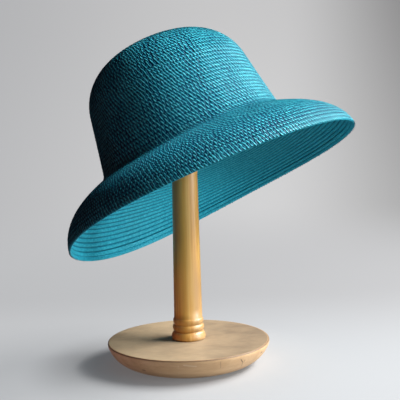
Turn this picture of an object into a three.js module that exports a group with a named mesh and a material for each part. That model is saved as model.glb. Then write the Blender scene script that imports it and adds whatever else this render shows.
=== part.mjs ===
// A wide brim straw hat, tilted on a plain turned wooden hat stand.
// Millimetres, +Z up. The origin is the middle of the stand's underside.
import * as THREE from 'three';

// Hat: one meridian from the middle of the tip to the brim's edge.
// Slopes are degrees below level; bend is the power by which a part's slope goes from one to the other.
const MERIDIAN = [
  { part: 'tip', length: 50, fromSlope: 0, toSlope: 16.4, bend: 1 },
  { part: 'shoulder', length: 62, fromSlope: 16.4, toSlope: 81.2, bend: 1 },
  { part: 'side', length: 69.4, fromSlope: 81.2, toSlope: 81.2, bend: 1 },
  { part: 'brim', length: 83.3, fromSlope: 24.1, toSlope: 83.9, bend: 2.4 },
];
const OVAL = 10; // the long half-width of the head less the short one
const WALL = 2; // thickness of the sewn straw
const EDGE_BAND = 8.5; // width of the doubled band at the brim's edge
const EDGE_WALL = 2.6; // its thickness
const CROWN_ROWS = 42; // rows of braid from the tip to the head line
const BRIM_ROWS = 17; // rows of braid from the head line to the edge band
const ROW_LAP = 0.5; // how far a row's lower edge stands over the next row

// Waves of the straw: how far the head line and the brim's edge dip, and at which angle round the hat.
// Angles run from the hat's raised right side towards the back.
const HEAD_WAVES = [{ lobes: 2, dip: 4.3, at: 63 }];
const EDGE_WAVES = [
  { lobes: 1, dip: 6, at: 158 },
  { lobes: 2, dip: 3, at: 139 },
  { lobes: 3, dip: 1.6, at: 18 },
];
const EDGE_WAVE_SPREAD = 1.5; // power by which the edge's waves die out towards the head line

// How the hat sits on the stand: the head line's middle, and its tilts in degrees.
const HAT_PLACE = { x: 10.6, y: -5.1, z: 224.8 };
const HAT_LEAN_BACK = 12;
const HAT_TIP_LEFT = 21.4;

// Stand
const BASE = { radius: 85, foot: 60, height: 24, lip: 1.5, edge: 1, fullness: 0.78 };
const POST_FOOT = { radius: 18, height: 8, tuck: 1, belly: 3 };
const POST_RINGS = [
  { part: 'lower ring', middle: 12.5, width: 6, radius: 16.6, root: 15 },
  { part: 'upper ring', middle: 19.5, width: 5, radius: 16, root: 15.2 },
];
const SHAFT = { lowRadius: 14.9, topRadius: 12.2 };
const TENON = { radius: 8, length: 12 };
const HEAD = { radius: 34, side: 10, dome: 18, underside: 313.7 };
const GAP = 0.3; // between pieces that are seated on each other

// Facets
const HAT_SIDES = 30;
const BASE_SIDES = 40;
const POST_SIDES = 24;
const TRACE_STEP = 0.25;
const WALL_STATION = 11; // spacing of the plain inner wall's stations

const STRAW = { color: 0x1c8296, roughness: 0.6, metalness: 0 };
const POST_WOOD = { color: 0xd2a052, roughness: 0.4, metalness: 0 };
const BASE_WOOD = { color: 0xb99a74, roughness: 0.6, metalness: 0 };

const radians = THREE.MathUtils.degToRad;

// Distances along the meridian: the head line, where crown and brim meet, and the brim's edge.
const BRIM = MERIDIAN.find(({ part }) => part === 'brim');
const BRIM_END = MERIDIAN.reduce((sum, { length }) => sum + length, 0);
const HEAD_LINE = BRIM_END - BRIM.length;
const BAND_START = BRIM_END - EDGE_BAND;

// Point and slope of the meridian at a distance from the middle of the tip.
function trace(distance) {
  const at = { r: 0, z: 0, slope: 0 };
  let left = distance;
  for (const { length, fromSlope, toSlope, bend } of MERIDIAN) {
    const reach = Math.min(left, length);
    const steps = Math.max(1, Math.ceil(reach / TRACE_STEP));
    const slopeAt = (along) => radians(fromSlope + (toSlope - fromSlope) * (along / length) ** bend);
    for (let i = 0; i < steps; i++) {
      const slope = slopeAt(((i + 0.5) * reach) / steps);
      at.r += (reach / steps) * Math.cos(slope);
      at.z -= (reach / steps) * Math.sin(slope);
    }
    at.slope = slopeAt(reach);
    left -= reach;
    if (left <= 0) break;
  }
  return at;
}

const HEAD_POINT = trace(HEAD_LINE);
const CROWN_HEIGHT = -HEAD_POINT.z;
const HEAD_RADIUS = HEAD_POINT.r;

// Across the wall where crown and brim meet at an angle, for one millimetre of depth.
const MITRE = (() => {
  const side = HEAD_POINT.slope;
  const brim = radians(BRIM.fromSlope);
  const turn = Math.sin(side - brim);
  return {
    r: (Math.cos(brim) - Math.cos(side)) / turn,
    z: (Math.sin(side) - Math.sin(brim)) / turn,
  };
})();

// A point of the straw wall: distance along the meridian, and depth below the outer face.
function wallPoint(distance, depth, across) {
  const at = trace(distance);
  const normal = across ?? { r: Math.sin(at.slope), z: Math.cos(at.slope) };
  const height = at.z + CROWN_HEIGHT;
  const outward = Math.max(0, distance - HEAD_LINE) / BRIM.length;
  const crownShare = Math.max(0, 1 - height / (CROWN_HEIGHT / 2)) ** 2;
  return {
    r: Math.max(0, at.r - depth * normal.r),
    z: height - depth * normal.z,
    headShare: distance <= HEAD_LINE ? crownShare : 1 - outward,
    edgeShare: outward ** EDGE_WAVE_SPREAD,
  };
}

const dip = (waves, angle) =>
  waves.reduce((sum, wave) => sum + wave.dip * Math.cos(wave.lobes * (angle - radians(wave.at))), 0);

// Where a wall point lies at an angle round the oval, waved hat.
function roundTheHat(point, angle) {
  const short = point.r - OVAL * Math.min(1, point.r / HEAD_RADIUS);
  const sag = point.headShare * dip(HEAD_WAVES, angle) + point.edgeShare * dip(EDGE_WAVES, angle);
  return [point.r * Math.cos(angle), short * Math.sin(angle), point.z - sag];
}

// Turns a section of the wall round the hat; the section runs down the inner face and up the outer one.
function hatGeometry(section) {
  const outline = section.map(({ r, z }) => new THREE.Vector2(r, z));
  const geometry = new THREE.LatheGeometry(outline, HAT_SIDES);
  const position = geometry.getAttribute('position');
  for (let side = 0; side <= HAT_SIDES; side++) {
    const angle = (2 * Math.PI * side) / HAT_SIDES;
    section.forEach((point, station) => {
      position.setXYZ(side * section.length + station, ...roundTheHat(point, angle));
    });
  }
  geometry.computeVertexNormals();
  return geometry;
}

// Outer face of lapped rows, from the lowest row up.
function lappedRows(start, end, rows) {
  const pitch = (end - start) / rows;
  const face = [];
  for (let row = rows - 1; row >= 0; row--) {
    face.push({ distance: start + (row + 1) * pitch, depth: 0 });
    face.push({ distance: start + row * pitch, depth: ROW_LAP });
  }
  return face;
}

// Plain inner face, from the highest station down.
function plainFace(start, end, depth) {
  const spans = Math.ceil((end - start) / WALL_STATION);
  return Array.from({ length: spans + 1 }, (_, i) => ({ distance: start + ((end - start) * i) / spans, depth }));
}

const wallPoints = (stations) => stations.map(({ distance, depth, across }) => wallPoint(distance, depth, across));

function crownGeometry() {
  const end = HEAD_LINE - GAP / 2;
  const inner = plainFace(0, end, WALL);
  const outer = lappedRows(0, end, CROWN_ROWS);
  inner.at(-1).across = MITRE;
  return hatGeometry(wallPoints([...inner, ...outer]));
}

function brimGeometry() {
  const start = HEAD_LINE + GAP / 2;
  const end = BAND_START - GAP / 2;
  const inner = plainFace(start, end, WALL);
  const outer = lappedRows(start, end, BRIM_ROWS);
  inner[0].across = MITRE;
  return hatGeometry(wallPoints([...inner, ...outer, inner[0]]));
}

// The band's section is a flat strip with a rounded outer edge.
function brimEdgeGeometry() {
  const start = BAND_START + GAP / 2;
  const round = EDGE_WALL / 2;
  const inner = plainFace(start, BRIM_END - round, EDGE_WALL);
  const nose = [-60, 0, 60].map((turn) => ({
    distance: BRIM_END - round + round * Math.cos(radians(turn)),
    depth: round - round * Math.sin(radians(turn)),
  }));
  const outer = plainFace(start, BRIM_END - round, 0).reverse();
  return hatGeometry(wallPoints([...inner, ...nose, ...outer, inner[0]]));
}

// A piece turned on the stand's axis, from an outline that runs up its outside.
function turnedGeometry(outline, sides, arcSteps) {
  const geometry = new THREE.LatheGeometry(outline.getPoints(arcSteps), sides);
  geometry.rotateX(Math.PI / 2);
  return geometry;
}

function baseGeometry() {
  const { radius, foot, height, lip, edge, fullness } = BASE;
  const lipBottom = height - edge - lip;
  const outline = new THREE.Path();
  outline.moveTo(0, 0);
  outline.lineTo(foot, 0);
  outline.quadraticCurveTo(foot + fullness * (radius - foot), lipBottom * (1 - fullness), radius, lipBottom);
  outline.lineTo(radius, height - edge);
  outline.lineTo(radius - edge, height);
  outline.lineTo(TENON.radius + GAP, height);
  outline.lineTo(TENON.radius + GAP, height - TENON.length - GAP);
  outline.lineTo(0, height - TENON.length - GAP);
  return turnedGeometry(outline, BASE_SIDES, 6);
}

function postGeometry() {
  const seat = BASE.height + GAP;
  const top = HEAD.underside - GAP;
  const { radius, height, tuck, belly } = POST_FOOT;
  const [lower] = POST_RINGS;
  const outline = new THREE.Path();
  outline.moveTo(0, BASE.height - TENON.length);
  outline.lineTo(TENON.radius, BASE.height - TENON.length);
  outline.lineTo(TENON.radius, seat);
  outline.lineTo(radius - tuck, seat);
  outline.quadraticCurveTo(radius, seat, radius, seat + belly);
  outline.quadraticCurveTo(radius - tuck, seat + height, lower.root, seat + height);
  for (const ring of POST_RINGS) {
    const middle = BASE.height + ring.middle;
    const bulge = ring.radius - ring.root;
    outline.absellipse(ring.root, middle, bulge, ring.width / 2, -Math.PI / 2, Math.PI / 2);
  }
  outline.lineTo(SHAFT.lowRadius, outline.currentPoint.y + GAP);
  outline.lineTo(SHAFT.topRadius, top);
  outline.lineTo(TENON.radius, top);
  outline.lineTo(TENON.radius, HEAD.underside + TENON.length);
  outline.lineTo(0, HEAD.underside + TENON.length);
  return turnedGeometry(outline, POST_SIDES, 3);
}

function headGeometry() {
  const { radius, side, dome, underside } = HEAD;
  const socket = TENON.radius + GAP;
  const socketEnd = underside + TENON.length + GAP;
  const outline = new THREE.Path();
  outline.moveTo(0, socketEnd);
  outline.lineTo(socket, socketEnd);
  outline.lineTo(socket, underside);
  outline.lineTo(radius, underside);
  outline.lineTo(radius, underside + side);
  outline.absellipse(0, underside + side, radius, dome, 0, Math.PI / 2);
  return turnedGeometry(outline, POST_SIDES, 4);
}

function piece(name, geometry, finish) {
  const mesh = new THREE.Mesh(geometry, new THREE.MeshStandardMaterial(finish));
  mesh.name = name;
  return mesh;
}

const hat = new THREE.Group();
hat.add(piece('crown', crownGeometry(), STRAW));
hat.add(piece('brim', brimGeometry(), STRAW));
hat.add(piece('brim_edge', brimEdgeGeometry(), STRAW));
hat.position.set(HAT_PLACE.x, HAT_PLACE.y, HAT_PLACE.z);
hat.rotation.set(radians(-HAT_LEAN_BACK), radians(-HAT_TIP_LEFT), 0);

const stand = new THREE.Group();
stand.add(piece('stand_base', baseGeometry(), BASE_WOOD));
stand.add(piece('stand_post', postGeometry(), POST_WOOD));
stand.add(piece('stand_head', headGeometry(), POST_WOOD));

const hatOnStand = new THREE.Group();
hatOnStand.add(hat, stand);

export default hatOnStand;
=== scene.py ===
"""Looks of a wide brim straw hat, tilted on a turned wooden hat stand.

Lengths in the tables are millimetres, as in the part's source; every mesh is in metres, with +Z up.
"""
import bisect
import math
import random

import bmesh
import bpy
from mathutils import Matrix, Vector


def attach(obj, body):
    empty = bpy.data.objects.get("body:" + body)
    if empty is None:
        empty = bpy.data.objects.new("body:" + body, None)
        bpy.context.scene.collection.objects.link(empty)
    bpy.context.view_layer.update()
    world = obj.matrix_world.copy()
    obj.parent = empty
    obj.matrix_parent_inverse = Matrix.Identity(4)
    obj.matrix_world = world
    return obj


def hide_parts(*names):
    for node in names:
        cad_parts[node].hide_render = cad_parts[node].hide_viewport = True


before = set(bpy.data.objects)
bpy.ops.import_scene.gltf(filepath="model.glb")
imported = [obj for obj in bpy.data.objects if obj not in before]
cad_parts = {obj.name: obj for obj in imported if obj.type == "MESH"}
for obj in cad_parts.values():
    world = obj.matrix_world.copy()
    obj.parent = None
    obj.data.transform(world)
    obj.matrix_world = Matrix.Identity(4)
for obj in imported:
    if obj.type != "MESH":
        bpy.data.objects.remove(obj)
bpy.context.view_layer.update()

MM = 0.001
TURN = 2 * math.pi

# Camera
CAMERA_PLACE = (0, -682.51, 200.13)
CAMERA_DOWN = 2.5276  # degrees below level
CAMERA_RIGHT = 1.3006  # degrees to the right of straight ahead
CAMERA_ROLL = 1.3975  # degrees
CAMERA_LENS = 58.5
CAMERA_SENSOR = 36

# Studio: the lamps look at one point. They are turned in degrees from +X and raised in degrees from level.
# Their distance and sizes are metres.
LIT_POINT = (0, 0, 200)
LAMP_DISTANCE = 3.3
LAMPS = (
    {"name": "window", "turn": 9, "rise": 40, "size": (2.6, 1.2), "power": 376, "tone": (1, 0.99, 0.97)},
    {"name": "side window", "turn": -14, "rise": 8, "size": (1.2, 0.5), "power": 54, "tone": (1, 0.99, 0.97)},
    {"name": "low window", "turn": -40, "rise": 12, "size": (2.2, 0.8), "power": 34, "tone": (1, 0.99, 0.98)},
    {"name": "warm room", "turn": 190, "rise": 6, "size": (2.0, 1.0), "power": 13, "tone": (1, 0.12, 0.03)},
)
SKY = {"colour": (0.5, 0.88, 1.5), "strength": 0.018}
FLOOR_GAP = 0.2  # the floor lies just under the base
FLOOR_RADIUS = 220  # of the disc that throws light back at the stand
# The floor runs flat so far out, then sweeps up into a wall with rings at these heights.
ROOM = {"flat": 450, "sweep": 1400, "wall": (2200, 3000)}
ROOM_SIDES = 96
# Tones of the backdrop's painted glow, and of the base colour that the lamps light.
PAPER_TONES = {
    "lit": (0.325, 0.33, 0.34),
    "far left": (0.43, 0.44, 0.455),
    "far right": (0.45, 0.455, 0.47),
    "near left": (0.57, 0.59, 0.61),
    "near right": (0.7, 0.73, 0.76),
    "wall left": (0.34, 0.345, 0.36),
    "wall": (0.56, 0.56, 0.565),
    "wall right": (0.1, 0.1, 0.1),
}
BLACK = (0, 0, 0)

# Hat: its meridian from the middle of the tip to the brim's edge, slopes in degrees below level.
MERIDIAN = (
    {"part": "tip", "length": 50, "from_slope": 0, "to_slope": 16.4, "bend": 1},
    {"part": "shoulder", "length": 62, "from_slope": 16.4, "to_slope": 81.2, "bend": 1},
    {"part": "side", "length": 69.4, "from_slope": 81.2, "to_slope": 81.2, "bend": 1},
    {"part": "brim", "length": 83.3, "from_slope": 24.1, "to_slope": 83.9, "bend": 2.4},
)
TRACE_STEP = 0.1
OVAL = 10  # the long half-width of the head less the short one
WALL = 2
EDGE_BAND = 8.5  # width of the band at the brim's edge
EDGE_WALL = 2.6
CROWN_ROWS = 42
BRIM_ROWS = 17
EDGE_ROWS = 2
# How far the head line and the brim's edge dip in waves, deepest at an angle in degrees.
HEAD_WAVES = ({"lobes": 2, "dip": 4.3, "at": 63},)
EDGE_WAVES = (
    {"lobes": 1, "dip": 6, "at": 158},
    {"lobes": 2, "dip": 3, "at": 139},
    {"lobes": 3, "dip": 1.6, "at": 18},
)
EDGE_WAVE_SPREAD = 1.5  # power by which the edge's waves die out towards the head line
HAT_PLACE = Vector((10.6, -5.1, 224.8))
HAT_LEAN_BACK = 12  # degrees
HAT_TIP_LEFT = 21.4  # degrees

# Braid: a stitch is two strands that lie slanted side by side on the outer face; the rows rib the inner face.
STITCH_PITCH = 3.5  # along a row
CHORD = 1.7  # a stitch rests on the wall this far above and below its middle
ROW_SWAY = 0.25  # how far the stitches drift along a row, in stitches
ROW_TURN = 0.3  # how far the drift moves on from row to row, in radians
SWAY_LOBES = (3, 5, 8, 13)  # waves round the hat that make up the drift
FRONT = math.radians(265)  # where the stitches of all rows line up
RING_STEPS = 120  # steps in which a row's length is measured
NUDGE = 0.01  # a step round the hat, in radians, that shows a row's direction
# A stitch's own stray: in stitches along the row, and in millimetres up.
STITCH_STRAY = {"along": 0.1, "up": 0.25}
# How far stitches differ: turned either way in radians, and as shares of their sizes.
STITCH_SPREAD = {"turn": (-0.16, 0.16), "width": (0.9, 1.1), "length": (0.9, 1.1), "rise": (0.8, 1.05)}
# Strands of a stitch: their middles across and up it, their sizes, and their turns in degrees.
STRANDS = (
    {"at": -0.4, "up": 0, "width": 2.1, "length": 5.2, "turn": 0, "rise": 1.0},
    {"at": 1.35, "up": 0.2, "width": 1.5, "length": 4.6, "turn": -12, "rise": 0.5},
)
# Sections and tips of a strand, as shares of its length, width and rise, and its painted light there:
# lightest on the crest, darker at the tips, 0 at the feet.
STRAND_STATIONS = (
    {"along": -0.38, "width": 0.9, "rise": 1.5, "lit": 0.95},
    {"along": 0, "width": 1.0, "rise": 0.55, "lit": 1},
    {"along": 0.38, "width": 0.85, "rise": 1.4, "lit": 0.8},
)
STRAND_TIPS = (
    {"along": -0.5, "lit": 0.7},
    {"along": 0.5, "lit": 0.5},
)
STRAND_RISE = 0.085  # height of a strand whose rise is 1
STRAND_FOOT = 0.3  # depth of the strands' feet below the outer face
GROUND = 0.4  # depth of the ground between the strands, which is painted dark as shade
GROUND_LIT = 0.75  # the painted light of the ground; strands are painted darker below this, a painted shade at their feet
GROUND_TINT = -0.05  # marks the ground and the inner face; the stitches have tints from 0 to 1
# A row lies out of line with the row above it by row_stray, in stitches. A longer row has more stitches,
# added by so many at a time that rows near each other line up. Slant and lap are degrees.
CROWN_BRAID = {"length": 1, "slant": 24, "lap": 3.5, "row_stray": 0.6, "added": 20, "seed": 7}
BRIM_BRAID = {"length": 0.7, "slant": 22, "lap": -5, "row_stray": 1, "added": 20, "seed": 8}
EDGE_BRAID = {"length": 0.9, "slant": 24, "lap": 0, "row_stray": 0.5, "added": 20, "seed": 11}
# One row of the inner face: a share of the row, how deep it is cut into the wall there, and how dark the
# painted shade is there.
CROWN_RIB = (
    {"along": 0, "groove": 0.5, "hollow": 0.9},
    {"along": 0.25, "groove": 0, "hollow": 0},
    {"along": 0.75, "groove": 0, "hollow": 0},
)
BRIM_RIB = (
    {"along": 0, "groove": 1.35, "hollow": 0.85},
    {"along": 0.12, "groove": 0.75, "hollow": 0.3},
    {"along": 0.3, "groove": 0.2, "hollow": 0},
    {"along": 0.5, "groove": 0, "hollow": 0},
    {"along": 0.7, "groove": 0.2, "hollow": 0},
    {"along": 0.88, "groove": 0.75, "hollow": 0.3},
)
EDGE_RIB = (
    {"along": 0, "groove": 0.6, "hollow": 0.7},
    {"along": 0.06, "groove": 0.16, "hollow": 0.1},
    {"along": 0.16, "groove": 0, "hollow": 0},
    {"along": 0.4, "groove": 0, "hollow": 0},
    {"along": 0.46, "groove": 0.3, "hollow": 0.15},
    {"along": 0.5, "groove": 0.8, "hollow": 0.7},
    {"along": 0.54, "groove": 0.3, "hollow": 0.15},
    {"along": 0.6, "groove": 0, "hollow": 0},
    {"along": 0.86, "groove": 0, "hollow": 0},
    {"along": 0.94, "groove": 0.12, "hollow": 0},
    {"along": 0.985, "groove": 0.5, "hollow": 0},
    {"along": 1, "groove": 1, "hollow": 0},
    {"along": 0.985, "groove": 1.5, "hollow": 0.3},
)
ROW_END = 0.95  # ribs that end past this share of a row run round the end of the wall
WALL_STEP = 6  # down the wall's ground
FOLD_SPLIT = 4  # the wall's steps are so many times closer in the fold
CROWN_SIDES = 64
BRIM_SIDES = 120
FOLD = 6  # how far the soft fold between crown and brim runs either way
FOLD_HOLLOW_SHADE = 0.7  # how dark the ground's painted shade is in the middle of the fold
FOLD_FADE = 12  # the ground's painted shade grows by 1 over this distance from the fold
FOLD_ROW = 2.1  # half the width of the row that lies in the fold
FOLD_SHADE = 0.3  # painted shade: the fold's stitches are this much darker
# Straw tones: the foot tone and the tone of hollows are painted shade at the strands' feet and in the gaps,
# grooves and fold.
STRAW_TONES = {
    "dark": (0.006, 0.27, 0.375),
    "bright": (0.115, 0.8, 0.93),
    "inner": (0.01, 0.45, 0.78),
    "foot": (0.001, 0.06, 0.13),
    "hollow": (0.001, 0.045, 0.11),
}

# Stand
BASE = {"radius": 85, "foot": 60, "height": 24, "lip": 1.5, "edge": 1, "fullness": 0.78}
POST_FOOT = {"radius": 18, "height": 8, "tuck": 1, "belly": 3}
POST_RINGS = (
    {"middle": 12.5, "width": 6, "radius": 16.6, "root": 15},
    {"middle": 19.5, "width": 5, "radius": 16, "root": 15.2},
)
SHAFT = {"low_radius": 14.9, "top_radius": 12.2}
TENON = {"radius": 8, "length": 12}
HEAD = {"radius": 34, "side": 10, "dome": 18, "round": 1, "underside": 313.7}
GAP = 0.3  # between pieces that are seated on each other
DARK = (0.09, 0.05, 0.025)
PALE = (0.62, 0.47, 0.31)
BASE_MARKS = (
    {"from": (49.5, -67.9, 19), "to": (51.3, -64.5, 15.5), "half": 0.8, "strength": 0.8, "tone": DARK},
    {"from": (51.3, -64.5, 15.5), "to": (50.5, -60.4, 10.4), "half": 0.6, "strength": 0.5, "tone": DARK},
    {"from": (53.7, -63.6, 17.1), "to": (52.6, -63, 14.6), "half": 0.7, "strength": 0.55, "tone": DARK},
    {"from": (71.6, -43, 18), "to": (72.6, -41.5, 18.3), "half": 1.4, "strength": 0.7, "tone": DARK},
    {"from": (-44.5, -65.4, 10.9), "to": (-42.9, -66.5, 10.9), "half": 1.5, "strength": 0.6, "tone": DARK},
    {"from": (-5.1, -84.3, 19.9), "to": (6.1, -83.6, 18.4), "half": 1.1, "strength": 0.6, "tone": PALE},
    {"from": (29.2, -79.5, 20.7), "to": (29.4, -76, 14), "half": 0.7, "strength": 0.3, "tone": DARK},
    {"from": (-10.5, -83.6, 19.5), "to": (-10, -77, 9.5), "half": 0.8, "strength": 0.25, "tone": PALE},
)
# Tones of the post: each fades in along x or up z, from its start to its end in millimetres.
# The first three are painted light and shade: a lighter band left of the middle, a darker lower right
# where the lamps fall strongest, and a warm tint on the upper left against the teal light from the brim.
# The last is darker on the foot and rings, except on the right.
POST_TONES = (
    {"tone": "painted_light_mid_left", "fades": (("x", 1, -3), ("x", -11, -6)), "share": 0.6, "to": (0.95, 0.55, 0.115)},
    {"tone": "painted_shade_low_right", "fades": (("x", 1, 10), ("z", 130, 75)), "share": 0.85, "to": (0.35, 0.21, 0.088)},
    {"tone": "painted_warm_shade_upper_left", "fades": (("x", -2, -11), ("z", 100, 140)), "share": 0.8, "to": (0.72, 0.17, 0.012)},
    {"tone": "darker_foot", "fades": (("z", 53, 47), ("x", 12, -2)), "share": 0.4, "to": (0.3, 0.11, 0.015)},
)
# The top's worn and bare tones are also spread by painted light and shade: bare to the left, worn to the
# right.
BASE_TONES = {"worn": (0.145, 0.104, 0.068), "bare": (0.44, 0.325, 0.2), "rim": (0.10, 0.055, 0.026)}
BASE_SIDES = 160
POST_SIDES = 96
# Tones of the wood, from the dark lines of its grain to the light ones.
POST_GRAIN = (
    (0.36, (0.5, 0.21, 0.03)),
    (0.5, (0.7, 0.375, 0.083)),
    (0.64, (0.8, 0.51, 0.16)),
)
BASE_GRAIN = (
    (0.34, (0.40, 0.235, 0.11)),
    (0.5, (0.52, 0.335, 0.175)),
    (0.66, (0.63, 0.43, 0.245)),
)
BASE_TOP_RINGS = (0.97, 0.8, 0.6, 0.4, 0.25)  # shares of the base's radius
FOOT_RING = 1  # the base's underside has a ring this far inside its foot
SOCKET_BEVEL = 0.2
ARC_STEPS = 10
LONG_STEPS = 24  # of the base's side, the shaft and the wall's sweep

BRIM_LENGTH = MERIDIAN[-1]["length"]
BRIM_END = sum(part["length"] for part in MERIDIAN)
HEAD_LINE = BRIM_END - BRIM_LENGTH
BAND_START = BRIM_END - EDGE_BAND

# Pieces of the hat along its meridian: the wall's span, and where its rows of stitches are sewn on.
STRAW_PIECES = (
    {
        "name": "crown_braid", "node": "crown", "sides": CROWN_SIDES,
        "span": (0, HEAD_LINE), "wall": WALL, "rib": CROWN_RIB, "ribs": CROWN_ROWS,
        "sewn": (0, HEAD_LINE - FOLD_ROW), "rows": CROWN_ROWS, "braid": CROWN_BRAID,
    },
    {
        "name": "brim_braid", "node": "brim", "sides": BRIM_SIDES,
        "span": (HEAD_LINE, BAND_START), "wall": WALL, "rib": BRIM_RIB, "ribs": BRIM_ROWS,
        "sewn": (HEAD_LINE - FOLD_ROW, BAND_START), "rows": BRIM_ROWS + 1, "braid": BRIM_BRAID,
    },
    {
        "name": "brim_edge_braid", "node": "brim_edge", "sides": BRIM_SIDES,
        "span": (BAND_START, BRIM_END), "wall": EDGE_WALL, "rib": EDGE_RIB, "ribs": 1,
        "sewn": (BAND_START, BRIM_END), "rows": EDGE_ROWS, "braid": EDGE_BRAID,
    },
)


class Graph:
    """Adds nodes to a shader or geometry tree."""

    def __init__(self, tree):
        self.tree = tree

    def node(self, kind, settings=None, inputs=None, output=0):
        """One node: its settings are set first, then its sockets get values or links."""
        node = self.tree.nodes.new(kind)
        for name, value in (settings or {}).items():
            if name == "stops":
                self.set_stops(node.color_ramp, value)
            else:
                setattr(node, name, value)
        for key, value in (inputs or {}).items():
            for part in value if isinstance(value, list) else [value]:
                if isinstance(part, Socket):
                    self.tree.links.new(part.output, node.inputs[key])
                else:
                    node.inputs[key].default_value = part
        return Socket(self, node.outputs[output]) if node.outputs else None

    @staticmethod
    def set_stops(ramp, stops):
        while len(ramp.elements) < len(stops):
            ramp.elements.new(1)
        for element, (position, colour) in zip(ramp.elements, stops):
            element.position = position
            element.color = (*colour, 1)

    def value(self, operation, *terms):
        return self.node("ShaderNodeMath", {"operation": operation}, dict(enumerate(terms)))

    def mix(self, share, low, high):
        """Colour from low to high by share."""
        colours = {0: share}
        for place, colour in ((6, low), (7, high)):
            colours[place] = colour if isinstance(colour, Socket) else (*colour, 1)
        return self.node("ShaderNodeMix", {"data_type": "RGBA"}, colours, output=2)

    def parts(self, vector):
        """The three parts of a vector."""
        first = self.node("ShaderNodeSeparateXYZ", inputs={0: vector})
        return [Socket(self, output) for output in first.output.node.outputs]

    def vector(self, x, y, z):
        return self.node("ShaderNodeCombineXYZ", inputs={0: x, 1: y, 2: z})


class Socket:
    """A node's output; arithmetic on it adds Math nodes."""

    def __init__(self, graph, output):
        self.graph = graph
        self.output = output

    def __add__(self, other):
        return self.graph.value("ADD", self, other)

    def __sub__(self, other):
        return self.graph.value("SUBTRACT", self, other)

    def __rsub__(self, other):
        return self.graph.value("SUBTRACT", other, self)

    def __mul__(self, other):
        return self.graph.value("MULTIPLY", self, other)

    def __truediv__(self, other):
        return self.graph.value("DIVIDE", self, other)

    def __pow__(self, other):
        return self.graph.value("POWER", self, other)

    __radd__ = __add__

    def fade(self, start, end):
        """0 at start and 1 at end, smoothly."""
        return self.graph.node(
            "ShaderNodeMapRange",
            {"interpolation_type": "SMOOTHSTEP"},
            {"Value": self, "From Min": start, "From Max": end},
        )


# Finishes

def finish(name):
    """A material's graph and its shader."""
    material = bpy.data.materials.new(name)
    material.use_nodes = True
    graph = Graph(material.node_tree)
    shader = next(node for node in material.node_tree.nodes if node.type == "BSDF_PRINCIPLED")
    return material, graph, shader


def dress(graph, shader, sockets):
    """Sets the shader's sockets to values or links."""
    for name, value in sockets.items():
        if isinstance(value, Socket):
            graph.tree.links.new(value.output, shader.inputs[name])
        else:
            shader.inputs[name].default_value = value


def attribute(graph, name, output):
    return graph.node("ShaderNodeAttribute", {"attribute_name": name}, output=output)


def own_place(graph):
    """A point of the piece in its own frame."""
    return graph.node("ShaderNodeTexCoord", output=3)


def from_axis(graph, x, y):
    """How far a point is from the stand's axis."""
    return graph.value("SQRT", x ** 2 + y ** 2)


def noise(graph, place, scale, detail=2, roughness=0.5):
    return graph.node(
        "ShaderNodeTexNoise",
        inputs={"Vector": place, "Scale": scale, "Detail": detail, "Roughness": roughness},
    )


def bump(graph, height, strength, distance):
    return graph.node(
        "ShaderNodeBump", inputs={"Height": height, "Strength": strength, "Distance": distance}
    )


def teal_straw():
    """Dyed straw: fine fibres along the strands, tints that differ from stitch to stitch, painted light on
    the strands' crests, and painted shade at their feet, in the gaps between them, in the grooves and in the
    fold.
    """
    material, graph, shader = finish("teal straw")
    # The third part of the strand mark is painted light: high on the crests, lower at the tucked tips, 0 at
    # the feet.
    across, along, rise = graph.parts(attribute(graph, "strand", 1))
    tint = attribute(graph, "tint", 2)
    hollow = attribute(graph, "hollow", 2)
    place = own_place(graph)
    fibres = noise(graph, graph.vector(across * 2.6 + tint * 37, along * 0.5, tint * 11), 3.4, 3)
    mottle = noise(graph, place, 900, 1)
    bare = tint.fade(0, GROUND_TINT)
    grain = (noise(graph, place, 430, 1) - 0.5) * bare
    # The rise term is painted light on the strands' crests and painted shade on their sides.
    shade = tint * 0.2 + fibres * 0.5 + (mottle - 0.5) * 1.1 + (rise - 0.8) * 0.9 + grain * 0.65 + 0.18
    straw = graph.mix(shade.fade(0, 1), STRAW_TONES["dark"], STRAW_TONES["bright"])
    straw = graph.mix(bare * 0.25, straw, STRAW_TONES["inner"])
    # Painted shade at the strands' feet.
    foot = 1 - rise.fade(0, GROUND_LIT)
    straw = graph.mix(foot, straw, STRAW_TONES["foot"])
    # Painted shade in the gaps between strands, in the rib grooves and in the fold.
    straw = graph.mix(hollow, straw, STRAW_TONES["hollow"])
    dress(graph, shader, {
        "Base Color": straw,
        "Roughness": 0.52 - fibres * 0.2 + hollow * 0.4,
        "Normal": bump(graph, fibres * 0.7 + mottle * 0.6, 0.4, 0.0004),
        "Specular IOR Level": 0.09,
    })
    return material


def golden_wood():
    """Turned post: golden wood with grain and fine fibres up it, with painted light and shade on its sides
    and a darker foot, under a satin varnish.
    """
    material, graph, shader = finish("golden turned wood")
    place = own_place(graph)
    x, y, z = graph.parts(place)
    drift = noise(graph, graph.vector(x * 24, y * 24, z * 5), 1, 2)
    bands = noise(graph, graph.vector(x * 210, y * 210, z * 5), 1, 2)
    fibres = noise(graph, graph.vector(x * 700, y * 700, z * 12), 1, 2)
    grain = bands * 0.5 + fibres * 0.35 + drift * 0.15
    wood = graph.node("ShaderNodeValToRGB", {"stops": POST_GRAIN}, {0: grain})
    ways = {"x": x, "z": z}
    # Painted light and shade, and the darker foot, laid over the grain one tone at a time.
    for tone in POST_TONES:
        first, second = (ways[way].fade(start * MM, end * MM) for way, start, end in tone["fades"])
        wood = graph.mix(first * second * tone["share"], wood, tone["to"])
    dress(graph, shader, {
        "Base Color": wood,
        "Roughness": 0.34 + fibres * 0.16,
        "Normal": bump(graph, fibres + bands, 0.06, 0.0004),
        "Coat Weight": 0.45,
        "Coat Roughness": 0.42,
    })
    return material


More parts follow.
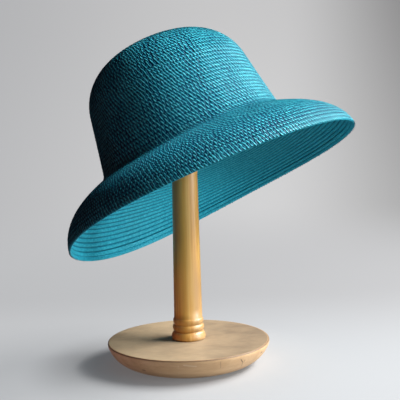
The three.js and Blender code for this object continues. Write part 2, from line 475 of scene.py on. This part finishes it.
def near_mark(graph, place, mark):
    """1 on a mark of the base, fading to 0 round it: a short line from one point to another."""
    start, end = Vector(mark["from"]) * MM, Vector(mark["to"]) * MM
    run = end - start

    def vectors(operation, inputs, output=0):
        return graph.node("ShaderNodeVectorMath", {"operation": operation}, inputs, output)

    from_start = vectors("SUBTRACT", {0: place, 1: start})
    reach = vectors("DOT_PRODUCT", {0: from_start, 1: run}, output=1)
    share = graph.value("MINIMUM", graph.value("MAXIMUM", reach / run.length_squared, 0), 1)
    nearest = vectors("SCALE", {0: run, 3: share})
    gap = vectors("DISTANCE", {0: from_start, 1: nearest}, output=1)
    return 1 - gap.fade(mark["half"] * MM * 0.4, mark["half"] * MM)


def pale_wood():
    """Turned base: pale wood, a worn and darker top with painted light on its left and painted shade on its
    right, a dark line round the rim, and small marks.
    """
    material, graph, shader = finish("pale turned wood")
    place = own_place(graph)
    x, y, z = graph.parts(place)
    out = from_axis(graph, x, y)
    drift = noise(graph, graph.vector(x * 14, y * 20, z * 40), 1, 3)
    fibres = noise(graph, graph.vector(x * 60, y * 700, z * 500), 1, 3)
    bands = noise(graph, graph.vector(x * 12, y * 90, z * 60), 1, 2)
    cuts = noise(graph, graph.vector(out * 420, z * 420, drift), 1, 2)
    grain = bands * 0.35 + fibres * 0.2 + drift * 0.25 + cuts * 0.2
    wood = graph.node("ShaderNodeValToRGB", {"stops": BASE_GRAIN}, {0: grain})
    top, edge = BASE["height"] * MM, BASE["radius"] * MM
    on_top = z.fade(top - 0.0004, top - 0.0001) * (1 - out.fade(edge - 0.002, edge - 0.0012))
    worn = noise(graph, graph.vector(x * 34, y * 46, 0.3), 1, 4, 0.62)
    scratches = noise(graph, graph.vector(x * 90 + y * 40, y * 520, 0.7), 1, 2)
    # Worn patches, and painted light and shade: the top is painted lighter to the left and darker to the
    # right.
    patches_and_painted_light = (worn * 0.7 + scratches * 0.3).fade(0.3, 0.7) * 0.4 + x.fade(0.07, -0.07) * 0.6
    face = graph.mix(patches_and_painted_light, BASE_TONES["worn"], BASE_TONES["bare"])
    wood = graph.mix(on_top * 0.95, wood, face)
    rim = out.fade(edge - 0.0015, edge - 0.0008) * z.fade(top - 0.0015, top - 0.0007) * (0.6 + drift * 0.4)
    wood = graph.mix(rim, wood, BASE_TONES["rim"])
    for mark in BASE_MARKS:
        wood = graph.mix(near_mark(graph, place, mark) * mark["strength"], wood, mark["tone"])
    dress(graph, shader, {
        "Base Color": wood,
        "Roughness": 0.5 + fibres * 0.15,
        "Normal": bump(graph, fibres + cuts, 0.12, 0.0004),
        "Coat Weight": 0.06,
        "Coat Roughness": 0.35,
    })
    return material


def pale_paper():
    """Plain pale floor and backdrop: lit by the lamps near the stand, with a painted glow that takes over
    farther out. The glow is painted lighter on the floor's front and right, and on the wall it is darker to
    the left, much darker to the right and a little darker upwards.
    """
    material, graph, shader = finish("pale backdrop")
    x, y, z = graph.parts(own_place(graph))
    out = from_axis(graph, x, y)
    # Share of the painted glow: low near the stand, high farther out.
    own = out.fade(0.095, 0.18) * 0.58 + 0.18
    right = x.fade(-0.15, 0.15)
    far = graph.mix(right, PAPER_TONES["far left"], PAPER_TONES["far right"])
    near = graph.mix(right, PAPER_TONES["near left"], PAPER_TONES["near right"])
    floor = graph.mix(y.fade(0.4, -0.1), far, near)
    wall = graph.mix(x.fade(-0.9, 0.3), PAPER_TONES["wall left"], PAPER_TONES["wall"])
    wall = graph.mix((x - y * 0.25).fade(-0.07, 0.53), wall, PAPER_TONES["wall right"])
    wall = graph.mix(z.fade(0.1, 0.8) * 0.08, wall, BLACK)
    look = graph.mix(z.fade(0, 0.12), floor, wall)
    dress(graph, shader, {
        "Base Color": graph.mix(own, PAPER_TONES["lit"], BLACK),
        "Roughness": 0.8,
        "Emission Color": graph.mix(own, BLACK, look),
        "Emission Strength": 1,
    })
    return material


# Shapes

def new_object(name, mesh):
    piece = bpy.data.objects.new(name, mesh)
    bpy.context.scene.collection.objects.link(piece)
    return piece


def smooth(shape):
    """Turns a shape's faces outward and shades them smooth."""
    bmesh.ops.recalc_face_normals(shape, faces=shape.faces)
    for face in shape.faces:
        face.smooth = True


def meshed(name, shape):
    """A mesh of a shape, which is freed."""
    mesh = bpy.data.meshes.new(name)
    shape.to_mesh(mesh)
    shape.free()
    return mesh


def leaning(start, pull, end, t):
    """A point of the curve from start to end that leans towards pull, at a share t of its way."""
    shares = ((1 - t) ** 2, 2 * t * (1 - t), t * t)
    return tuple(sum(s * p[k] for s, p in zip(shares, (start, pull, end))) for k in (0, 1))


def revolved(section, sides, place, hollow_shades=None):
    """A section turned about an axis; place gives a point of it at an angle. A wall's section, which comes
    with the painted shade of each of its points, is closed.
    """
    shape = bmesh.new()
    mark = shape.verts.layers.float.new("hollow") if hollow_shades else None
    rings = []
    for side in range(sides):
        angle = TURN * side / sides
        ring = [shape.verts.new(place(point, angle)) for point in section]
        rings.append(ring)
        for corner, hollow in zip(ring, hollow_shades or ()):
            corner[mark] = hollow
    spans = len(section) if hollow_shades else len(section) - 1
    for side, ring in enumerate(rings):
        following = rings[(side + 1) % sides]
        for low in range(spans):
            high = (low + 1) % len(section)
            shape.faces.new((ring[low], ring[high], following[high], following[low]))
    bmesh.ops.remove_doubles(shape, verts=shape.verts, dist=1e-6)
    smooth(shape)
    return shape


def traced_meridian():
    """Radius, height and slope of the hat's meridian at even steps from the middle of the tip."""
    radius, height = 0, 0
    stations = [(radius, height, 0)]
    for part in MERIDIAN:
        steps = round(part["length"] / TRACE_STEP)
        for step in range(steps):
            share = ((step + 0.5) / steps) ** part["bend"]
            slope = math.radians(part["from_slope"] + (part["to_slope"] - part["from_slope"]) * share)
            radius += TRACE_STEP * math.cos(slope)
            height -= TRACE_STEP * math.sin(slope)
            stations.append((radius, height, slope))
    return stations


def soft_fold(stations):
    """Rounds the corner between crown and brim."""
    corner = round(HEAD_LINE / TRACE_STEP)
    reach = round(FOLD / TRACE_STEP)
    start, middle, end = stations[corner - reach], stations[corner], stations[corner + reach]
    eased = []
    for step in range(2 * reach + 1):
        t = step / (2 * reach)
        radius, height = leaning(start, middle, end, t)
        outward = (1 - t) * (middle[0] - start[0]) + t * (end[0] - middle[0])
        drop = (1 - t) * (start[1] - middle[1]) + t * (middle[1] - end[1])
        eased.append((radius, height, math.atan2(drop, outward)))
    return stations[:corner - reach] + eased + stations[corner + reach + 1:]


STATIONS = traced_meridian()
HEAD_RADIUS = STATIONS[round(HEAD_LINE / TRACE_STEP)][0]
CROWN_HEIGHT = -STATIONS[round(HEAD_LINE / TRACE_STEP)][1]
STATIONS = soft_fold(STATIONS)
HAT_TURN = Matrix.Rotation(math.radians(-HAT_LEAN_BACK), 3, "X") @ Matrix.Rotation(
    math.radians(-HAT_TIP_LEFT), 3, "Y"
)


def dip(waves, angle):
    return sum(
        wave["dip"] * math.cos(wave["lobes"] * (angle - math.radians(wave["at"]))) for wave in waves
    )


def straw_place(distance, angle, depth):
    """Where the straw wall lies: along the meridian, round the hat, and below the outer face."""
    step = min(max(distance / TRACE_STEP, 0), len(STATIONS) - 1.001)
    low, share = int(step), step % 1
    radius, height = (a + (b - a) * share for a, b in zip(STATIONS[low][:2], STATIONS[low + 1][:2]))
    slope = STATIONS[low + 1][2]
    height += CROWN_HEIGHT
    outward = max(0, distance - HEAD_LINE) / BRIM_LENGTH
    crown_share = max(0, 1 - height / (CROWN_HEIGHT / 2)) ** 2
    head_share = crown_share if distance <= HEAD_LINE else 1 - outward
    edge_share = outward ** EDGE_WAVE_SPREAD
    radius = max(0, radius - depth * math.sin(slope))
    height -= depth * math.cos(slope)
    height -= head_share * dip(HEAD_WAVES, angle) + edge_share * dip(EDGE_WAVES, angle)
    short = radius - OVAL * min(1, radius / HEAD_RADIUS)
    point = Vector((radius * math.cos(angle), short * math.sin(angle), height))
    return (HAT_TURN @ point + HAT_PLACE) * MM


def wall_section(start, end, rows, wall, rib):
    """The wall under the strands: down its ground, painted dark as shade, and back up the ribbed inner face
    with painted shade in its grooves.
    """
    spans = math.ceil((end - start) / WALL_STEP)
    pitch = (end - start) / rows
    ground = []
    # The ground carries painted shade, a little lighter in the middle of the fold.
    for span in range(spans * FOLD_SPLIT + 1):
        distance = start + (end - start) * span / (spans * FOLD_SPLIT)
        from_fold = abs(distance - HEAD_LINE)
        if span % FOLD_SPLIT == 0 or from_fold < FOLD:
            ground.append((distance, GROUND, min(1, FOLD_HOLLOW_SHADE + from_fold / FOLD_FADE)))
    face = []
    if rib[-1]["along"] < ROW_END:
        face.append((end, wall - rib[0]["groove"], rib[0]["hollow"]))
    else:
        ground.pop()
    for row in reversed(range(rows)):
        for part in reversed(rib):
            distance = start + pitch * (row + part["along"])
            face.append((distance, wall - part["groove"], part["hollow"]))
    return ground + face


def stitch_places(start, end, rows, braid):
    """Place, outward and along directions of every stitch, and the painted shade that darkens the stitches in
    the fold. Rows line up at the front.
    """
    chance = random.Random(braid["seed"])
    drop = (end - start) / rows
    lean = drop * math.tan(math.radians(braid["slant"])) * MM
    sways = [(lobes, chance.uniform(-1, 1), chance.uniform(0, TURN)) for lobes in SWAY_LOBES]
    slip = 0
    for row in range(rows):
        middle = start + drop * (row + 0.5)
        angles = [FRONT + TURN * step / RING_STEPS for step in range(RING_STEPS + 1)]
        ring = [straw_place(middle, angle, STRAND_FOOT) for angle in angles]
        way = [0]
        for a, b in zip(ring, ring[1:]):
            way.append(way[-1] + (b - a).length)
        count = max(3, round(way[-1] / (STITCH_PITCH * MM)))
        if count > 2 * braid["added"]:
            count = round(count / braid["added"]) * braid["added"]
        slip += chance.uniform(-1, 1) * braid["row_stray"]
        line_up = row * lean / way[-1] + slip / count
        # Painted shade on the stitches of the fold.
        fold_shade = FOLD_SHADE * max(0, 1 - abs(middle - HEAD_LINE) / FOLD)
        for stitch in range(count):
            turn = TURN * stitch / count
            waves = (size * math.cos(lobes * turn + at + ROW_TURN * row) for lobes, size, at in sways)
            drift = ROW_SWAY * sum(waves)
            stray = chance.uniform(-1, 1) * STITCH_STRAY["along"]
            share = ((stitch + drift + stray) / count + line_up) % 1
            step = bisect.bisect_right(way, share * way[-1]) - 1
            part = (share * way[-1] - way[step]) / (way[step + 1] - way[step])
            angle = FRONT + TURN * (step + part) / RING_STEPS
            distance = middle + chance.uniform(-1, 1) * STITCH_STRAY["up"]
            over, under = (straw_place(distance + side * CHORD, angle, STRAND_FOOT) for side in (-1, 1))
            ahead, behind = (straw_place(distance, angle + side * NUDGE, STRAND_FOOT) for side in (1, -1))
            along, up = ahead - behind, over - under
            yield (over + under) / 2, along.cross(up).normalized(), along.normalized(), fold_shade


def stitch_shape():
    """Two strands side by side, their tips tucked in. The first runs along Y, and both rise along Z."""
    shape = bmesh.new()
    mark = shape.verts.layers.float_vector.new("strand")
    for strand in STRANDS:
        turn = Matrix.Rotation(math.radians(strand["turn"]), 3, "Z")
        middle = Vector((strand["at"], strand["up"], 0))

        def corner(across, along, rise, lit):
            spot = Vector((across * strand["width"] / 2, along * strand["length"], rise * STRAND_RISE))
            made = shape.verts.new((middle + turn @ spot) * MM)
            # The third part of the mark is the strand's painted light and shade.
            made[mark] = (across, along * 2, lit)
            return made

        sections = []
        for station in STRAND_STATIONS:
            wide, along = station["width"], station["along"]
            crest, lit = strand["rise"] * station["rise"], strand["rise"] * station["lit"]
            feet = [corner(side * wide, along, 0, 0) for side in (-1, 1)]
            sections.append([feet[0], corner(0, along, crest, lit), feet[1]])
        for end, section in zip(STRAND_TIPS, (sections[0], sections[-1])):
            tip = corner(0, end["along"], 0, end["lit"])
            for k in range(3):
                shape.faces.new((tip, section[k], section[(k + 1) % 3]))
        for low, high in zip(sections, sections[1:]):
            for k in range(3):
                shape.faces.new((low[k], low[(k + 1) % 3], high[(k + 1) % 3], high[k]))
    smooth(shape)
    return bpy.data.objects.new("stitch", meshed("stitch", shape))


def braid_tree():
    """Geometry tree that lays a slanted stitch at every stitch place of a wall."""
    tree = bpy.data.node_groups.new("stitches of the braid", "GeometryNodeTree")
    inputs = {
        "Wall": "NodeSocketGeometry",
        "Stitch": "NodeSocketObject",
        "Length": "NodeSocketFloat",
        "Slant": "NodeSocketFloat",
        "Lap": "NodeSocketFloat",
        "Seed": "NodeSocketInt",
        "Straw": "NodeSocketMaterial",
    }
    for name, kind in inputs.items():
        tree.interface.new_socket(name, in_out="INPUT", socket_type=kind)
    tree.interface.new_socket("Braid", in_out="OUTPUT", socket_type="NodeSocketGeometry")
    graph = Graph(tree)
    given = graph.node("NodeGroupInput").output.node.outputs
    wall, stitch, length, slant, lap, seed, straw = (Socket(graph, given[name]) for name in inputs)

    def chance(low, high, shift):
        return graph.node(
            "FunctionNodeRandomValue",
            {"data_type": "FLOAT"},
            {2: low, 3: high, 8: seed + shift},
            output=1,
        )

    def named(name, kind):
        return graph.node("GeometryNodeInputNamedAttribute", {"data_type": kind}, {"Name": name})

    def stored(geometry, name, kind, domain, value):
        return graph.node(
            "GeometryNodeStoreNamedAttribute",
            {"data_type": kind, "domain": domain},
            {"Geometry": geometry, "Name": name, "Value": value},
        )

    def rotated(rotation, axis, angle):
        by = graph.node("FunctionNodeAxisAngleToRotation", inputs={"Axis": axis, "Angle": angle})
        return graph.node(
            "FunctionNodeRotateRotation", {"rotation_space": "LOCAL"}, {"Rotation": rotation, "Rotate By": by}
        )

    split = graph.node(
        "GeometryNodeSeparateGeometry",
        {"domain": "POINT"},
        {"Geometry": wall, "Selection": named("stitch", "FLOAT")},
    )
    ground = Socket(graph, split.output.node.outputs[1])
    ground = stored(ground, "strand", "FLOAT_VECTOR", "POINT", (0, 0, GROUND_LIT))
    ground = stored(ground, "tint", "FLOAT", "POINT", GROUND_TINT)
    upright = graph.node(
        "FunctionNodeAxesToRotation",
        {"primary_axis": "Z", "secondary_axis": "X"},
        {0: named("outward", "FLOAT_VECTOR"), 1: named("along", "FLOAT_VECTOR")},
    )
    lapped = rotated(upright, (1, 0, 0), lap * -1)
    slanted = rotated(lapped, (0, 0, 1), slant + chance(*STITCH_SPREAD["turn"], 1))
    size = graph.vector(
        chance(*STITCH_SPREAD["width"], 2),
        length * chance(*STITCH_SPREAD["length"], 3),
        chance(*STITCH_SPREAD["rise"], 4),
    )
    shape = graph.node("GeometryNodeObjectInfo", inputs={"Object": stitch}, output=4)
    laid = graph.node(
        "GeometryNodeInstanceOnPoints",
        inputs={"Points": split, "Instance": shape, "Rotation": slanted, "Scale": size},
    )
    laid = stored(laid, "tint", "FLOAT", "INSTANCE", chance(0, 1, 5))
    laid = graph.node("GeometryNodeRealizeInstances", inputs={"Geometry": laid})
    whole = graph.node("GeometryNodeJoinGeometry", inputs={"Geometry": [ground, laid]})
    whole = graph.node("GeometryNodeSetMaterial", inputs={"Geometry": whole, "Material": straw})
    graph.node("NodeGroupOutput", inputs={0: whole})
    return tree


def braided(plan, tree, stitch, straw):
    """A piece of the hat: rows of stitches laid on a wall."""
    section = wall_section(*plan["span"], plan["ribs"], plan["wall"], plan["rib"])

    def place_on_wall(point, angle):
        distance, depth, _ = point
        return straw_place(distance, angle, depth)

    shape = revolved(section, plan["sides"], place_on_wall, [hollow for _, _, hollow in section])
    layers = shape.verts.layers
    layers.float.new("stitch")
    layers.float_vector.new("outward")
    layers.float_vector.new("along")
    hollow, is_stitch = layers.float["hollow"], layers.float["stitch"]
    outwards, alongs = layers.float_vector["outward"], layers.float_vector["along"]
    braid = plan["braid"]
    for place, outward, along, fold_shade in stitch_places(*plan["sewn"], plan["rows"], braid):
        point = shape.verts.new(place)
        point[hollow] = fold_shade
        point[is_stitch] = 1
        point[outwards] = outward
        point[alongs] = along
    mesh = meshed(plan["name"], shape)
    piece = new_object(plan["name"], mesh)
    laying = piece.modifiers.new("stitches", "NODES")
    laying.node_group = tree
    settings = {
        "Stitch": stitch,
        "Length": braid["length"],
        "Slant": math.radians(braid["slant"]),
        "Lap": math.radians(braid["lap"]),
        "Seed": braid["seed"],
        "Straw": straw,
    }
    for socket in tree.interface.items_tree:
        if socket.in_out == "INPUT" and socket.name in settings:
            laying[socket.identifier] = settings[socket.name]
    evaluated = bpy.context.evaluated_depsgraph_get()
    made = bpy.data.meshes.new_from_object(
        piece.evaluated_get(evaluated), preserve_all_data_layers=True, depsgraph=evaluated
    )
    piece.modifiers.remove(laying)
    piece.data = made
    bpy.data.meshes.remove(mesh)
    made.name = plan["name"]
    return piece


def arc(centre, size, start, end, steps=ARC_STEPS):
    """Points of an ellipse's arc, from start to end in degrees."""
    angles = [math.radians(start + (end - start) * step / steps) for step in range(steps + 1)]
    return [(centre[0] + size[0] * math.cos(a), centre[1] + size[1] * math.sin(a)) for a in angles]


def bow(start, pull, end, steps=ARC_STEPS):
    """Points of a curve from start, which is left out, to end that leans towards pull."""
    return [leaning(start, pull, end, step / steps) for step in range(1, steps + 1)]


def turned(name, outline, sides, wood):
    """A piece turned on the stand's axis, from an outline of radius and height."""
    def place(point, angle):
        return Vector((point[0] * math.cos(angle), point[0] * math.sin(angle), point[1])) * MM

    shape = revolved(outline, sides, place)
    mesh = meshed(name, shape)
    mesh.materials.append(wood)
    return new_object(name, mesh)


def base_outline():
    radius, foot, height = BASE["radius"], BASE["foot"], BASE["height"]
    lip_bottom = height - BASE["edge"] - BASE["lip"]
    pull = (foot + BASE["fullness"] * (radius - foot), lip_bottom * (1 - BASE["fullness"]))
    socket = TENON["radius"] + GAP
    floor = height - TENON["length"] - GAP
    outline = [(0, 0), (foot - FOOT_RING, 0), (foot, 0)]
    outline += bow((foot, 0), pull, (radius, lip_bottom), LONG_STEPS)
    outline += arc((radius - BASE["edge"], height - BASE["edge"]), (BASE["edge"], BASE["edge"]), 0, 90, 5)
    outline += [(radius * share, height) for share in BASE_TOP_RINGS]
    outline += [(socket + SOCKET_BEVEL, height), (socket, height - SOCKET_BEVEL)]
    outline += [(socket, floor), (0, floor)]
    return outline


def post_outline():
    seat = BASE["height"] + GAP
    top = HEAD["underside"] - GAP
    radius, height = POST_FOOT["radius"], POST_FOOT["height"]
    tuck, belly = POST_FOOT["tuck"], POST_FOOT["belly"]
    root = POST_RINGS[0]["root"]
    outline = [(0, BASE["height"] - TENON["length"]), (TENON["radius"], BASE["height"] - TENON["length"])]
    outline += [(TENON["radius"], seat), (radius - tuck, seat)]
    outline += bow((radius - tuck, seat), (radius, seat), (radius, seat + belly))
    outline += bow((radius, seat + belly), (radius - tuck, seat + height), (root, seat + height))
    for ring in POST_RINGS:
        middle = BASE["height"] + ring["middle"]
        outline += arc((ring["root"], middle), (ring["radius"] - ring["root"], ring["width"] / 2), -90, 90)
    low = outline[-1][1] + GAP
    for step in range(LONG_STEPS + 1):
        share = step / LONG_STEPS
        shaft = SHAFT["low_radius"] + (SHAFT["top_radius"] - SHAFT["low_radius"]) * share
        outline.append((shaft, low + (top - low) * share))
    outline += [(TENON["radius"], top), (TENON["radius"], HEAD["underside"] + TENON["length"])]
    outline.append((0, HEAD["underside"] + TENON["length"]))
    return outline


def head_outline():
    radius, side, underside = HEAD["radius"], HEAD["side"], HEAD["underside"]
    eased = HEAD["round"]
    socket = TENON["radius"] + GAP
    socket_end = underside + TENON["length"] + GAP
    outline = [(0, socket_end), (socket, socket_end), (socket, underside), (radius - eased, underside)]
    outline += arc((radius - eased, underside + eased), (eased, eased), -90, 0, 4)
    outline += arc((0, underside + side), (radius, HEAD["dome"]), 0, 90, 16)
    return outline


# Studio

def camera():
    down, right, roll = (math.radians(angle) for angle in (CAMERA_DOWN, CAMERA_RIGHT, CAMERA_ROLL))
    ahead = Vector((math.sin(right) * math.cos(down), math.cos(right) * math.cos(down), -math.sin(down)))
    level = Vector((math.cos(right), -math.sin(right), 0))
    below = ahead.cross(level)
    side = math.cos(roll) * level + math.sin(roll) * below
    under = -math.sin(roll) * level + math.cos(roll) * below
    data = bpy.data.cameras.new("camera")
    data.sensor_width = CAMERA_SENSOR
    data.lens = CAMERA_LENS
    seer = new_object("camera", data)
    turn = Matrix((side, -under, -ahead)).transposed().to_4x4()
    seer.matrix_world = Matrix.Translation(Vector(CAMERA_PLACE) * MM) @ turn
    bpy.context.scene.camera = seer


def backdrop():
    """A floor that sweeps up into a wall all round. Only the floor near the stand throws light back."""
    paper = pale_paper()
    low = -FLOOR_GAP
    flat, curve = ROOM["flat"], ROOM["sweep"]
    sweep = [(FLOOR_RADIUS, low), (flat, low)]
    sweep += arc((flat, low + curve), (curve, curve), -90, 0, LONG_STEPS)[1:]
    sweep += [(flat + curve, height) for height in ROOM["wall"]]
    disc = [(0, low), (FLOOR_RADIUS / 2, low), (FLOOR_RADIUS, low)]
    near = turned("floor under the stand", disc, ROOM_SIDES, paper)
    room = turned("floor and wall", sweep, ROOM_SIDES, paper)
    room.visible_diffuse = False
    room.visible_glossy = False
    room.visible_shadow = False


def soft_light(name, turn, rise, size, power, tone):
    """A flat soft light that looks at the hat."""
    data = bpy.data.lights.new(name, "AREA")
    data.shape = "RECTANGLE"
    data.size, data.size_y = size
    data.energy = power
    data.color = tone
    lamp = new_object(name, data)
    lamp.visible_camera = False
    turn, rise = math.radians(turn), math.radians(rise)
    away = Vector((math.cos(rise) * math.cos(turn), math.cos(rise) * math.sin(turn), math.sin(rise)))
    place = Vector(LIT_POINT) * MM + away * LAMP_DISTANCE
    lamp.matrix_world = Matrix.Translation(place) @ away.to_track_quat("Z", "Y").to_matrix().to_4x4()


def studio():
    world = bpy.data.worlds.new("studio")
    world.use_nodes = True
    sky = world.node_tree.nodes["Background"]
    sky.inputs["Color"].default_value = (*SKY["colour"], 1)
    sky.inputs["Strength"].default_value = SKY["strength"]
    bpy.context.scene.world = world
    bpy.context.scene.view_settings.view_transform = "Standard"
    for lamp in LAMPS:
        soft_light(**lamp)


camera()
backdrop()
studio()

straw = teal_straw()
tree = braid_tree()
golden = golden_wood()
pale = pale_wood()

stitch = stitch_shape()
pieces = [(braided(plan, tree, stitch, straw), plan["node"], "straw") for plan in STRAW_PIECES]
pieces += [
    (turned("turned_base", base_outline(), BASE_SIDES, pale), "stand_base", "base_wood"),
    (turned("turned_post", post_outline(), POST_SIDES, golden), "stand_post", "post_wood"),
    (turned("turned_head", head_outline(), POST_SIDES, golden), "stand_head", "post_wood"),
]
bpy.data.objects.remove(stitch)
for piece, node, slot in pieces:
    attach(piece, "root")
    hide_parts(node)
